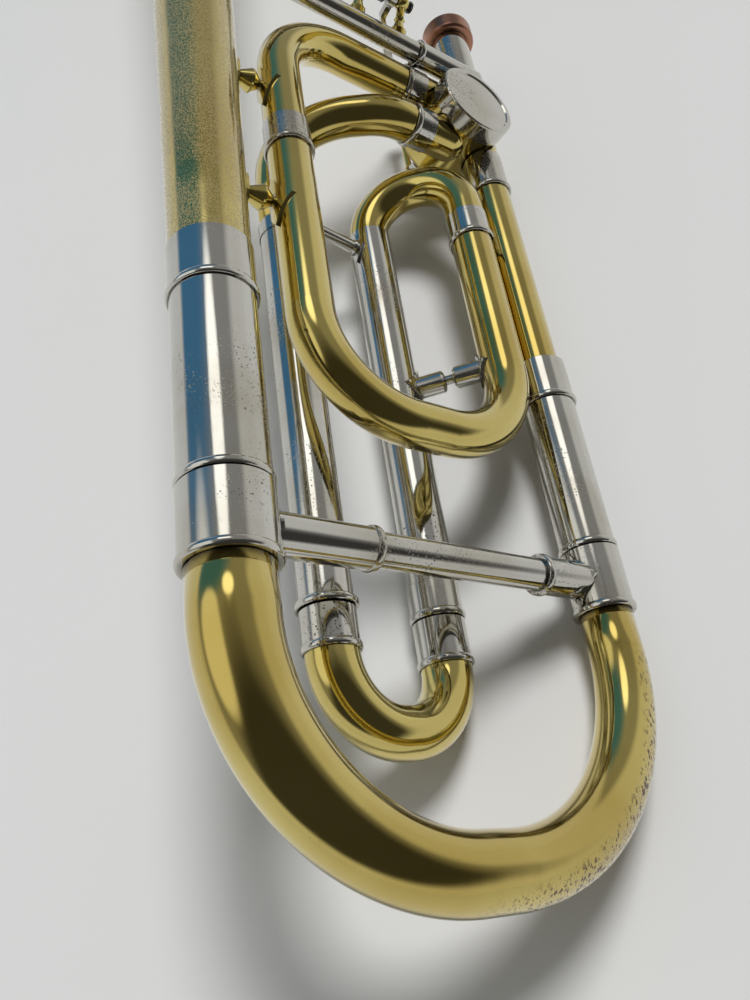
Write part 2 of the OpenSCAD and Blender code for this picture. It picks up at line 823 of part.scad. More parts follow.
// From the lower port, dipping below the bell's plane, and round onto the F slide's left leg
return_sides = 20;
return_dip = -[cos(dip_angle), 0, sin(dip_angle)];
return_up = [-sin(dip_angle), 0, cos(dip_angle)];
return_turn = [leg_d.x, lower_port_y, leg_d.y] - return_dip * return_bend_r;
// Each stop of a swept pipe is [centre, one side, the other side, radius]
return_stops = concat(
    [[[port_joint_x - solder_gap, lower_port_y, 0], [0, 0, 1], [0, 1, 0], tube_r]],
    [for (i = [0 : 4]) let (q = dip_angle * i / 4)
        [[dip_x - dip_r * sin(q), lower_port_y, dip_r * (cos(q) - 1)],
            [-sin(q), 0, cos(q)], [0, 1, 0], tube_r]],
    [for (i = [0 : 10]) let (q = 9 * i)
        [return_turn + return_dip * return_bend_r * sin(q) - [0, return_bend_r * (1 - cos(q)), 0],
            return_up, [0, cos(q), 0] + return_dip * sin(q), tube_r]],
    [[[leg_d.x, left_joint_y + solder_gap, leg_d.y], return_up, return_dip, tube_r]]);

module return_tube() {
    color(brass)
        laid()
            swept_pipe(return_stops, tube_wall, return_sides);
}

// Triangles of a closed tube through rings of the same number of points
function tube_faces(rings, sides) = [
    for (i = [0 : rings - 2]) for (k = [0 : sides - 1])
        let (a = i * sides + k, b = i * sides + (k + 1) % sides)
        each [[a, b, a + sides], [b, b + sides, a + sides]]];
function stop_ring(s, sides, inset) = [for (k = [0 : sides - 1]) let (q = 360 * k / sides)
    s[0] + (s[3] - inset) * (s[1] * cos(q) + s[2] * sin(q))];

// Hollow pipe through its stops
module swept_pipe(stops, wall, sides) {
    rings = len(stops);
    count = rings * sides;
    last = (rings - 1) * sides;
    outer = tube_faces(rings, sides);
    polyhedron(
        concat(
            [for (s = stops) each stop_ring(s, sides, 0)],
            [for (s = stops) each stop_ring(s, sides, wall)]),
        concat(
            [for (f = outer) [f[0], f[2], f[1]]],
            [for (f = outer) [f[0] + count, f[1] + count, f[2] + count]],
            [for (k = [0 : sides - 1]) let (n = (k + 1) % sides)
                each [[k, n, k + count], [n, n + count, k + count]]],
            [for (k = [0 : sides - 1]) let (n = (k + 1) % sides)
                each [[last + k, last + k + count, last + n],
                    [last + n, last + k + count, last + n + count]]]));
}

module hand_brace() {
    color(nickel)
        laid()
            translate([hand_bell_end - socket_depth, hand_y, hand_z])
                rotate([0, 90, 0])
                    linear_extrude(hand_neck_x - hand_bell_end + 2 * socket_depth)
                        pipe_end(hand_r, sleeve_wall);
}

// Socket outline of [radius, x] points, with a ring at its open end (x1 on the right, x0 on the left)
function socket_right(r, bore, x0, x1) = concat(
    [[0, x0], [r, x0]], ring(r, x1 - ring_w),
    [[bore, x1], [bore, x1 - socket_depth - solder_gap], [0, x1 - socket_depth - solder_gap]]);
function socket_left(r, bore, x0, x1) = concat(
    [[bore, x0]], ring(r, x0 + ring_w),
    [[r, x1], [0, x1], [0, x0 + socket_depth + solder_gap], [bore, x0 + socket_depth + solder_gap]]);

module turned_along_x(y, z, points) {
    translate([0, y, z])
        rotate([0, 90, 0])
            rotate_extrude()
                polygon(points);
}

module hand_brace_bell_socket() {
    foot_len = 18;
    foot_w = 14;
    lean = asin(hand_z / bell_r(hand_y)) / 2;
    color(nickel)
        laid()
            difference() {
                union() {
                    turned_along_x(hand_y, hand_z,
                        socket_right(hand_socket_r, hand_r + solder_gap, hand_bell_x - 3, hand_bell_end));
                    rotate([0, -lean, 0])
                        bell_foot(hand_y, foot_len, foot_w);
                }
                bell_clear(hand_y, foot_len, solder_gap);
            }
}

module hand_brace_neck_socket() {
    end_x = leg_spacing - 4;
    saddle_len = 2 * (hand_brace_reach - casing_r - 2 * seat_gap);
    saddle_w = 11;
    color(nickel)
        laid()
            difference() {
                union() {
                    turned_along_x(hand_y, hand_z,
                        socket_left(hand_socket_r, hand_r + solder_gap, hand_neck_x, end_x));
                    translate([end_x, hand_y, hand_z])
                        sphere(hand_socket_r);
                    translate([leg_spacing, hand_y, 0])
                        rotate([0, -45, 0])
                            saddle(neck_r, saddle_len, saddle_w);
                }
                translate([leg_spacing, hand_y, 0])
                    rod_along_y(neck_r + solder_gap, 2 * saddle_len);
            }
}

// Turned post on the hand brace, with a ball that carries the pivot rod
module lever_post(x) {
    base = hand_r + solder_gap;
    neck_at = (base + post_len - post_ball_r) / 2 + 0.6;
    translate([x, hand_y, hand_z])
        rotate([post_lean - 90, 0, 0])
            difference() {
                union() {
                    rotate_extrude()
                        polygon([
                            [0, 0], [3.1, 0], [3.1, base + 0.9], [2.4, base + 1.5], [1.6, neck_at - 1],
                            [2.1, neck_at], [1.6, neck_at + 1], [1.7, post_len], [0, post_len]]);
                    translate([0, 0, post_len])
                        sphere(post_ball_r);
                }
                rotate([0, 90, 0])
                    cylinder(r = base, h = 4 * post_ball_r, center = true);
                translate([0, 0, post_len])
                    rotate([0, 90, 0])
                        cylinder(r = pivot_r + solder_gap, h = 4 * post_ball_r, center = true);
            }
}

module lever_posts() {
    color(brass)
        laid() {
            lever_post(post_left);
            lever_post(post_right);
        }
}

module pivot_rod() {
    head_t = 0.9;
    x0 = post_left - post_ball_r - seat_gap;
    x1 = post_right + post_ball_r + seat_gap;
    color(steel)
        laid()
            turned_along_x(pivot_y, pivot_z, [
                [0, x0 - head_t], [pivot_r + 0.5, x0 - head_t], [pivot_r + 0.7, x0], [pivot_r, x0],
                [pivot_r, x1], [pivot_r + 0.7, x1], [pivot_r + 0.5, x1 + head_t], [0, x1 + head_t]]);
}

// Spring: a straight lead along the rod at each end, with the curls between them
spring_sides = 6;
spring_rings = 8;
spring_turn = 360 * spring_curls;
function spring_at(u) = [
    u < 0 ? u * spring_lead : u > 1 ? spring_curls * spring_pitch + (u - 1) * spring_lead
        : u * spring_curls * spring_pitch,
    spring_turn * max(0, min(1, u))];
function spring_point(u) = let (s = spring_at(u))
    [spring_x0 + spring_lead + s[0], pivot_y + spring_r * cos(s[1]), pivot_z + spring_r * sin(s[1])];
spring_steps = spring_curls * spring_rings;
spring_us = concat([-1, -0.35], [for (i = [0 : spring_steps]) i / spring_steps], [1.35, 2]);
spring_path = [for (u = spring_us) spring_point(u)];
function unit(v) = v / norm(v);
function spring_ring(i) = let (
    n = len(spring_path),
    t = unit(spring_path[min(i + 1, n - 1)] - spring_path[max(i - 1, 0)]),
    a = spring_at(spring_us[i])[1],
    out = unit([0, cos(a), sin(a)] - t * (t * [0, cos(a), sin(a)])),
    side = cross(t, out))
    [for (k = [0 : spring_sides - 1]) let (q = 360 * k / spring_sides)
        spring_path[i] + spring_wire_d / 2 * (out * cos(q) + side * sin(q))];
spring_curl_points = [for (i = [0 : 4 * spring_steps]) spring_point(i / (4 * spring_steps))];
spring_least_gap = min([for (i = [0 : len(spring_curl_points) - 1])
    for (j = [i + 2 * spring_rings : len(spring_curl_points) - 1])
        norm(spring_curl_points[i] - spring_curl_points[j])]) - spring_wire_d;
echo(spring_least_gap_mm = spring_least_gap);

module lever_spring() {
    rings = len(spring_path);
    last = (rings - 1) * spring_sides;
    color(steel)
        laid()
            polyhedron(
                [for (i = [0 : rings - 1]) each spring_ring(i)],
                concat(tube_faces(rings, spring_sides),
                    [for (k = [1 : spring_sides - 2]) [0, k + 1, k]],
                    [for (k = [1 : spring_sides - 2]) [last, last + k, last + k + 1]]));
}

// Bulb-shaped strut between the bell and the loop's left leg
module bell_strut(y) {
    foot_len = 13;
    foot_w = 9;
    saddle_len = 19;
    saddle_w = 12.6;
    x0 = bell_r(y);
    x1 = leg_a.x - tube_r;
    mid = (x0 + x1) / 2 + 0.6;
    difference() {
        union() {
            bell_foot(y, foot_len, foot_w);
            turned_along_x(y, 0, [
                [0, x0 - 2], [2.6, x0 - 2], [2.6, x0 + 1], [2, x0 + 1.6], [3.9, mid - 0.3],
                [3.9, mid + 0.3], [1.6, x1 - 1.4], [1.6, x1 - 1.1], [2.6, x1 - 0.4],
                [2.6, x1 + 2], [0, x1 + 2]]);
            spanning(leg_a, [0, 0], y)
                saddle(tube_r, saddle_len, saddle_w);
        }
        bell_clear(y, foot_len, solder_gap);
        translate([leg_a.x, y, leg_a.y])
            rod_along_y(tube_r + solder_gap, 2 * saddle_len);
    }
}

module bell_strut_low() {
    color(brass)
        laid()
            bell_strut(bell_strut_low_y);
}

module bell_strut_high() {
    color(brass)
        laid()
            bell_strut(bell_strut_high_y);
}

module loop_strut() {
    span = norm(leg_b - leg_c);
    z0 = f_sleeve_r;
    z1 = span - tube_r;
    mid = (z0 + z1) / 2;
    color(nickel)
        laid()
            strut(leg_c, leg_b, loop_strut_y, f_sleeve_r, tube_r, [
                [0, z0 - 2], [3.8, z0 - 2], [3.8, mid - 2.3], [3.2, mid - 1.6], [1.6, mid - 1.2],
                [1.6, mid + 1.2], [3.2, mid + 1.6], [3.8, mid + 2.3], [3.8, z1 + 2],
                [0, z1 + 2]], 14, 12.6);
}

module leg_strut() {
    span = norm(leg_c - leg_d);
    z0 = tube_r;
    z1 = span - f_sleeve_r;
    color(nickel)
        laid()
            strut(leg_d, leg_c, leg_strut_y, tube_r, f_sleeve_r, [
                [0, z0 - 2], [2.9, z0 - 2], [2.9, z0 + 1.6], [2.3, z0 + 2.4], [2.3, z1 - 2.4],
                [2.9, z1 - 1.6], [2.9, z1 + 2], [0, z1 + 2]], 14, 8);
}

// Main crook: a tube that tapers from the bell leg to the valve leg along the bow
crook_sides = 28;
crook_steps = 14;
crook_flat = leg_spacing - 2 * bow_r;
crook_run = PI * bow_r + crook_flat;
function crook_r(share) = (crook_bell_d + (crook_valve_d - crook_bell_d) * share) / 2;
function crook_stop(q, x) = let (share = (PI * bow_r * q / 180 + x) / crook_run)
    [[bow_r + x - bow_r * cos(q), -bow_r * sin(q), 0], -[cos(q), sin(q), 0], [0, 0, 1], crook_r(share)];
crook_stops = concat(
    [[[0, crook_joint_y, 0], [-1, 0, 0], [0, 0, 1], crook_r(0)]],
    [for (i = [0 : crook_steps]) crook_stop(90 * i / crook_steps, 0)],
    [for (i = [0 : crook_steps]) crook_stop(90 + 90 * i / crook_steps, crook_flat)],
    [[[leg_spacing, crook_joint_y, 0], [1, 0, 0], [0, 0, 1], crook_r(1)]]);

module main_crook() {
    color(brass)
        laid()
            swept_pipe(crook_stops, sleeve_wall, crook_sides);
}

// Ferrule of the crook's end: the crook below its middle, the inner leg above
module crook_ferrule(x, r, crook_end_r, leg_r) {
    ferrule([x, 0], crook_stub, mouth_y - seat_gap, r, crook_end_r + solder_gap, leg_r + solder_gap,
        crook_joint_y + solder_gap);
}

module crook_ferrule_bell() {
    color(nickel)
        laid()
            crook_ferrule(0, bell_cuff_r, crook_bell_d / 2, bell_leg_r);
}

module crook_ferrule_valve() {
    color(nickel)
        laid()
            crook_ferrule(leg_spacing, valve_cuff_r, crook_valve_d / 2, valve_leg_r);
}

module main_leg_bell() {
    color(nickel)
        laid()
            tube([0, 0], crook_joint_y + 2 * solder_gap, main_leg_top, bell_leg_r, sleeve_wall);
}

module main_leg_valve() {
    color(nickel)
        laid()
            tube([leg_spacing, 0], crook_joint_y + 2 * solder_gap, main_leg_top, valve_leg_r, sleeve_wall);
}

slide_socket_x0 = bell_cuff_r + brace_bell_socket_len;
slide_socket_x1 = leg_spacing - valve_cuff_r - brace_valve_socket_len;

module slide_brace() {
    color(nickel)
        laid()
            translate([slide_socket_x0 - socket_depth, brace_y, 0])
                rotate([0, 90, 0])
                    linear_extrude(slide_socket_x1 - slide_socket_x0 + 2 * socket_depth)
                        pipe_end(slide_brace_r, sleeve_wall);
}

slide_saddle_len = 17;
slide_saddle_w = 13;

module slide_brace_bell_socket() {
    color(nickel)
        laid()
            difference() {
                union() {
                    turned_along_x(brace_y, 0, socket_right(brace_socket_r, slide_brace_r + solder_gap,
                        bell_cuff_r - 2, slide_socket_x0));
                    spanning([0, 0], [leg_spacing, 0], brace_y)
                        saddle(bell_cuff_r, slide_saddle_len, slide_saddle_w);
                }
                translate([0, brace_y, 0])
                    rod_along_y(bell_cuff_r + solder_gap, 2 * slide_saddle_len);
            }
}

module slide_brace_valve_socket() {
    color(nickel)
        laid()
            difference() {
                union() {
                    turned_along_x(brace_y, 0, socket_left(brace_socket_r, slide_brace_r + solder_gap,
                        slide_socket_x1, leg_spacing - valve_cuff_r + 2));
                    spanning([leg_spacing, 0], [0, 0], brace_y)
                        saddle(valve_cuff_r, slide_saddle_len, slide_saddle_w);
                }
                translate([leg_spacing, brace_y, 0])
                    rod_along_y(valve_cuff_r + solder_gap, 2 * slide_saddle_len);
            }
}

module f_crook() {
    color(brass)
        laid()
            hairpin(leg_c, leg_d, f_crook_y, -1, f_crook_r, f_crook_tube_r, tube_wall,
                f_right_ferrule_len / 2, f_left_ferrule_len / 2);
}

module f_crook_ferrule(leg, len) {
    ferrule(leg, f_crook_y, f_crook_y + len - seat_gap, f_cuff_r, f_crook_tube_r + solder_gap,
        f_leg_r + solder_gap, f_crook_y + len / 2 + solder_gap);
}

module f_leg(leg, len) {
    tube(leg, f_crook_y + len / 2 + 2 * solder_gap, f_crook_y + len + f_leg_len, f_leg_r, tube_wall);
}

module f_crook_ferrule_right() {
    color(nickel)
        laid()
            f_crook_ferrule(leg_c, f_right_ferrule_len);
}

module f_crook_ferrule_left() {
    color(nickel)
        laid()
            f_crook_ferrule(leg_d, f_left_ferrule_len);
}

module f_leg_right() {
    color(nickel)
        laid()
            f_leg(leg_c, f_right_ferrule_len);
}

module f_leg_left() {
    color(nickel)
        laid()
            f_leg(leg_d, f_left_ferrule_len);
}

module rotor() {
    color(brass)
        laid()
            translate([valve_x, valve_y, 0]) {
                difference() {
                    cylinder(r = rotor_r, h = rotor_h, center = true);
                    for (side = [-1, 1])
                        translate([side * passage_x, 0, 0])
                            rotate_extrude()
                                translate([passage_bend_r, 0])
                                    circle(passage_r);
                }
                translate([0, 0, rotor_h / 2])
                    cylinder(r = spindle_r, h = rotor_end_gap + bearing_t);
                translate([0, 0, stop_arm_z])
                    cylinder(r = spindle_r, h = -rotor_h / 2 - stop_arm_z);
            }
}

// Stop arm: a hub, a finger that meets the corks and an arm out to the link
module stop_arm() {
    hub_r = spindle_r + 2;
    arm_w = 4.4;
    boss_r = 2.6;
    color(nickel)
        laid()
            translate([valve_x, valve_y, stop_arm_z - solder_gap - stop_arm_t])
                rotate([0, 0, 45]) {
                    linear_extrude(stop_arm_t)
                        difference() {
                            union() {
                                circle(hub_r);
                                translate([0, -finger_w / 2])
                                    square([cork_at + cork_r, finger_w]);
                                translate([-stop_arm_r, -arm_w / 2])
                                    square([stop_arm_r + 1, arm_w]);
                                translate([-stop_arm_r, 0])
                                    circle(boss_r);
                            }
                            circle(stop_screw_r + solder_gap);
                        }
                    translate([-stop_arm_r, 0, -boss_drop])
                        cylinder(r = boss_r - 0.4, h = boss_drop);
                }
}

module stop_arm_screw() {
    color(steel)
        laid()
            translate([valve_x, valve_y, stop_arm_z - solder_gap - stop_arm_t])
                rotate([180, 0, 0])
                    rotate_extrude()
                        polygon([
                            [0, -stop_arm_t], [stop_screw_r, -stop_arm_t], [stop_screw_r, solder_gap],
                            [3.2, solder_gap], [3.2, 1.2], [2.6, 1.8], [0, 1.8]]);
}

module lever_frame() {
    translate([0, pivot_y, pivot_z])
        rotate([-lever_swing, 0, 0])
            children();
}

// Barrel on the pivot rod, an arm down to the link and a short arm up to the paddle
module thumb_lever() {
    arm_w = 5;
    arm_x0 = barrel_x0 + 0.2;
    arm_x1 = barrel_x1 - 0.2;
    tab_x1 = lever_tab_x + lever_tab_t;
    color(nickel)
        laid()
            lever_frame()
                difference() {
                    union() {
                        translate([barrel_x0, 0, 0])
                            rotate([0, 90, 0])
                                cylinder(r = barrel_r, h = barrel_x1 - barrel_x0);
                        rotate([90, 0, 0])
                            linear_extrude(lever_arm_t, center = true)
                                polygon([
                                    [arm_x0, 0], [arm_x1, 0], [arm_x1, -barrel_r - 4],
                                    [tab_x1, arm_w - lever_len], [tab_x1, -lever_len],
                                    [lever_tab_x, -lever_len], [lever_tab_x - 2, 1 - lever_len],
                                    [arm_x0, -barrel_r - 4]]);
                        translate([lever_tab_x, 0, -lever_len])
                            rotate([0, 90, 0])
                                cylinder(r = link_eye_r, h = lever_tab_t);
                        rotate([paddle_lean + lever_swing, 0, 0])
                            translate([arm_x0, -lever_arm_t / 2, 0])
                                cube([arm_x1 - arm_x0, lever_arm_t, paddle_at + 2]);
                    }
                    translate([barrel_x0 - 1, 0, 0])
                        rotate([0, 90, 0])
                            cylinder(r = pivot_r + run_gap, h = barrel_x1 - barrel_x0 + 2);
                    translate([lever_tab_x - 4, 0, -lever_len])
                        rotate([0, 90, 0])
                            cylinder(r = link_pin_r + solder_gap, h = lever_tab_t + 8);
                }
}

module rounded_plate(width, len, corner) {
    for (x = [corner, width - corner])
        for (y = [corner, len - corner])
            translate([x, y])
                circle(corner);
    translate([corner, 0])
        square([width - 2 * corner, len]);
    translate([0, corner])
        square([width, len - 2 * corner]);
}

module thumb_paddle() {
    x0 = (barrel_x0 + barrel_x1 - paddle_w) / 2;
    front = lever_arm_t / 2 + solder_gap + paddle_t;
    color(brass)
        laid()
            lever_frame()
                rotate([paddle_lean + lever_swing, 0, 0])
                    translate([x0, front, paddle_at - 1])
                        rotate([90, 0, 0])
                            linear_extrude(paddle_t)
                                rounded_plate(paddle_w, paddle_len, 4);
}

module link_pin() {
    head_t = 1.1;
    x0 = lever_tab_x - solder_gap;
    x1 = link_x + link_eye_t / 2 + seat_gap;
    color(steel)
        laid()
            turned_along_x(link_lever_y, -link_depth, [
                [0, x0], [link_pin_r, x0], [link_pin_r, x1], [link_pin_r + 1.1, x1],
                [link_pin_r + 1.1, x1 + head_t - edge], [link_pin_r + 0.8, x1 + head_t], [0, x1 + head_t]]);
}

// Rod from the lever's pin to the stop arm, with an eye at one end and a flat boss at the other
module link_rod() {
    boss_r = 3.4;
    boss_top = stop_arm_z - solder_gap - stop_arm_t - boss_drop - seat_gap;
    boss_low = -link_depth - link_d / 2 - 0.5;
    color(brass)
        laid()
            difference() {
                union() {
                    translate([link_x - link_eye_t / 2, link_lever_y, -link_depth])
                        rotate([0, 90, 0])
                            cylinder(r = link_eye_r, h = link_eye_t);
                    translate([link_x, link_lever_y, -link_depth])
                        rotate([90, 0, 0])
                            cylinder(r = link_d / 2, h = link_lever_y - link_rotor_y);
                    translate([link_x, link_rotor_y, boss_low])
                        cylinder(r = boss_r, h = boss_top - boss_low);
                }
                translate([link_x - link_eye_t, link_lever_y, -link_depth])
                    rotate([0, 90, 0])
                        cylinder(r = link_pin_r + run_gap, h = 2 * link_eye_t);
            }
}

bell();
bell_rim_wire();
bell_ferrule();
bell_sleeve();
valve_sleeve();
valve_ferrule();
outlet_tube();
outlet_ferrule();
valve_casing();
bearing_plate();
valve_cap();
stop_plate();
stop_corks();
neckpipe();
receiver_collar();
upper_port_ferrule();
upper_port_tube();
loop_left_ferrule();
loop_tube();
loop_right_ferrule();
top_bend();
f_right_sleeve();
f_left_sleeve();
return_tube();
lower_port_ferrule();
hand_brace();
hand_brace_bell_socket();
hand_brace_neck_socket();
lever_posts();
pivot_rod();
lever_spring();
bell_strut_low();
bell_strut_high();
loop_strut();
leg_strut();
main_crook();
crook_ferrule_bell();
crook_ferrule_valve();
main_leg_bell();
main_leg_valve();
slide_brace();
slide_brace_bell_socket();
slide_brace_valve_socket();
f_crook();
f_crook_ferrule_right();
f_crook_ferrule_left();
f_leg_right();
f_leg_left();
rotor();
stop_arm();
stop_arm_screw();
thumb_lever();
thumb_paddle();
link_pin();
link_rod();
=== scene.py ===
import json
import math

import bpy
from mathutils import Euler, Matrix, Vector


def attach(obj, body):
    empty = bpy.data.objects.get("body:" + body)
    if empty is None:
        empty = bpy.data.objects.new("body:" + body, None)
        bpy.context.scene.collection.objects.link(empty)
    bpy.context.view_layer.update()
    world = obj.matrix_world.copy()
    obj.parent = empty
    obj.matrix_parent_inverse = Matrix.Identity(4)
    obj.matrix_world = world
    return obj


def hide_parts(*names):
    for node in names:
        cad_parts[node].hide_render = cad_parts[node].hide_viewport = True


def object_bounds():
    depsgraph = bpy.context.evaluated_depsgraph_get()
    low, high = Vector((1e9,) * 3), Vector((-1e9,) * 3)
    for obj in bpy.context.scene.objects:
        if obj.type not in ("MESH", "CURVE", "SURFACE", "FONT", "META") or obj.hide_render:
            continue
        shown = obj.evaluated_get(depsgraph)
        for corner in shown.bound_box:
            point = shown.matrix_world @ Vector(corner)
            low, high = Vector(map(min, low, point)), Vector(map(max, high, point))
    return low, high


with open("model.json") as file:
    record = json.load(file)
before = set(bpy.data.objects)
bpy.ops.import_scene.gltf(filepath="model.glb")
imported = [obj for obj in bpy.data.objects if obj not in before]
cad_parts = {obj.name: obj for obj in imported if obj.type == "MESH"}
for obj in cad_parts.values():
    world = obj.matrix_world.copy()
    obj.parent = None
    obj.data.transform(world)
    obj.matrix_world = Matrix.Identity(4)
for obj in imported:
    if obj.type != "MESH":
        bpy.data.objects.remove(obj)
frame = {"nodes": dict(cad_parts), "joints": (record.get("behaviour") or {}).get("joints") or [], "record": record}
cad_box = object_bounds()

# The instrument's own frame: X from the bell's axis to the valve leg, Y along the tubes towards
# the bell's mouth, Z square to the bell's plane. The joints say how it lies on the table.
MM = 0.001
VALVE_X = 110
VALVE_Y = 215
joints = {joint["name"]: joint for joint in frame["joints"]}
ACROSS = Vector(joints["thumb_lever_press"]["axis"])
ALONG = -Vector(joints["main_slide_pull"]["axis"])
SQUARE = ACROSS.cross(ALONG)
ORIGIN = Vector(joints["rotor_turn"]["pos_m"]) - (ACROSS * VALVE_X + ALONG * VALVE_Y) * MM
LAID = Matrix((ACROSS, ALONG, SQUARE)).transposed()

# Sizes of the pieces made here, in millimetres, as in the part's source
LEG_SPACING = 120
BOW_R = 55.5
CROOK_BELL_R = 10.5
CROOK_VALVE_R = 7.8
CROOK_WALL = 0.6
CROOK_END_Y = 21
TUBE_R = 7.2
TUBE_WALL = 0.5
PORT_JOINT_X = 89.12
LOWER_PORT_Y = 204
DIP_X = 83.67
DIP_R = 28
RETURN_BEND_R = 30
RETURN_LEG = (39, -23.5)
RETURN_END_Y = 146.05
PIVOT_Y = 250.256
PIVOT_Z = 16.264
SPRING_X = 64.05
SPRING_R = 2.75
SPRING_WIRE_R = 0.375
SPRING_PITCH = 1.2
SPRING_CURLS = 5
SPRING_LEAD = 1.5


def laid(x, y, z):
    """A point of the instrument's frame, in millimetres, as a place on the table in metres."""
    return ORIGIN + LAID @ Vector((x, y, z)) * MM


# Meshes


def mesh_object(name, points, faces):
    mesh = bpy.data.meshes.new(name)
    mesh.from_pydata(points, [], faces)
    mesh.shade_smooth()
    mesh.update()
    piece = bpy.data.objects.new(name, mesh)
    bpy.context.scene.collection.objects.link(piece)
    return piece


def ring_of(stop, sides, inset):
    """Points of one ring, round a stop of a pipe or wire.

    A stop is (centre, one side, other side, radius) in the instrument's frame.
    """
    centre, one, other, radius = stop
    points = []
    for k in range(sides):
        turn = 2 * math.pi * k / sides
        out = one * math.cos(turn) + other * math.sin(turn)
        points.append(laid(*(centre + (radius - inset) * out)))
    return points


def skin(rings, sides, inward=False):
    """Quads between neighbouring rings."""
    faces = []
    for i in range(rings - 1):
        for k in range(sides):
            a, b = i * sides + k, i * sides + (k + 1) % sides
            faces.append((a, a + sides, b + sides, b) if inward else (a, b, b + sides, a + sides))
    return faces


def swept_pipe(name, stops, sides, wall):
    """Hollow pipe through its stops, open at both ends, with its wall's thickness."""
    count = len(stops) * sides
    last = count - sides
    points = [p for stop in stops for p in ring_of(stop, sides, 0)]
    points += [p for stop in stops for p in ring_of(stop, sides, wall)]
    faces = skin(len(stops), sides)
    faces += [tuple(i + count for i in face) for face in skin(len(stops), sides, inward=True)]
    for k in range(sides):
        n = (k + 1) % sides
        faces.append((k, k + count, n + count, n))
        faces.append((last + k, last + n, last + n + count, last + k + count))
    return mesh_object(name, points, faces)


def swept_wire(name, stops, sides):
    """Solid wire through its stops, closed at both ends."""
    points = [p for stop in stops for p in ring_of(stop, sides, 0)]
    last = len(points) - sides
    faces = skin(len(stops), sides)
    faces.append(tuple(reversed(range(sides))))
    faces.append(tuple(range(last, last + sides)))
    return mesh_object(name, points, faces)


# Main bow: tapers from the bell leg to the valve leg, and carries how far each point is rubbed
BOW_SIDES = 96
BOW_STEPS = 56
# The rub's middle, in degrees round the tube at the bow's two ends, its place along the bow, and
# how fast it fades round the tube
RUB_LOW = -18
RUB_HIGH = 82
RUB_AT = 0.74
RUB_LEN = 0.34
RUB_FADE = 4


def bow_stops():
    flat = LEG_SPACING - 2 * BOW_R
    run = math.pi * BOW_R + flat
    stops = [(Vector((0, CROOK_END_Y, 0)), Vector((-1, 0, 0)), 0.0)]
    for i in range(2 * BOW_STEPS + 2):
        second = i > BOW_STEPS
        q = math.pi / 2 * (i - second) / BOW_STEPS
        x = flat if second else 0
        centre = Vector((BOW_R + x - BOW_R * math.cos(q), -BOW_R * math.sin(q), 0))
        stops.append((centre, Vector((-math.cos(q), -math.sin(q), 0)), (BOW_R * q + x) / run))
    stops.append((Vector((LEG_SPACING, CROOK_END_Y, 0)), Vector((1, 0, 0)), 1.0))
    return stops


def make_bow():
    stops = bow_stops()
    square = Vector((0, 0, 1))
    taper = CROOK_VALVE_R - CROOK_BELL_R
    piece = swept_pipe(
        "main_bow",
        [(centre, out, square, CROOK_BELL_R + taper * share) for centre, out, share in stops],
        BOW_SIDES, CROOK_WALL)
    rub = piece.data.attributes.new("rub", "FLOAT", "POINT")
    values = []
    for _, _, share in stops:
        middle = math.radians(RUB_LOW + (RUB_HIGH - RUB_LOW) * share)
        reach = max(0.0, 1 - ((share - RUB_AT) / RUB_LEN) ** 2)
        for k in range(BOW_SIDES):
            turn = 2 * math.pi * k / BOW_SIDES
            values.append(reach * max(0.0, math.cos(turn - middle)) ** RUB_FADE)
    rub.data.foreach_set("value", values + [0.0] * len(values))
    return piece


# Return tube: out of the lower port, dipping below the bell's plane, round onto the F slide's leg
RETURN_SIDES = 64
RETURN_STEPS = 24


def make_return_tube():
    run, rise = DIP_X - RETURN_LEG[0], DIP_R + RETURN_LEG[1]
    angle = math.asin(DIP_R / math.hypot(run, rise)) - math.atan2(rise, run)
    dip = Vector((-math.cos(angle), 0, -math.sin(angle)))
    up = Vector((-math.sin(angle), 0, math.cos(angle)))
    along = Vector((0, 1, 0))
    turn_at = Vector((RETURN_LEG[0], LOWER_PORT_Y, RETURN_LEG[1])) - dip * RETURN_BEND_R
    stops = [(Vector((PORT_JOINT_X, LOWER_PORT_Y, 0)), Vector((0, 0, 1)), along, TUBE_R)]
    for i in range(RETURN_STEPS // 2 + 1):
        q = angle * i / (RETURN_STEPS // 2)
        centre = Vector((DIP_X - DIP_R * math.sin(q), LOWER_PORT_Y, DIP_R * (math.cos(q) - 1)))
        stops.append((centre, Vector((-math.sin(q), 0, math.cos(q))), along, TUBE_R))
    for i in range(RETURN_STEPS + 1):
        q = math.pi / 2 * i / RETURN_STEPS
        reach, drop = RETURN_BEND_R * math.sin(q), RETURN_BEND_R * (1 - math.cos(q))
        centre = turn_at + dip * reach - along * drop
        stops.append((centre, up, along * math.cos(q) + dip * math.sin(q), TUBE_R))
    stops.append((Vector((RETURN_LEG[0], RETURN_END_Y, RETURN_LEG[1])), up, dip, TUBE_R))
    return swept_pipe("return_pipe", stops, RETURN_SIDES, TUBE_WALL)


# Lever spring: a straight lead along the rod at each end, with the curls between them
SPRING_SIDES = 12
SPRING_STEPS = 40


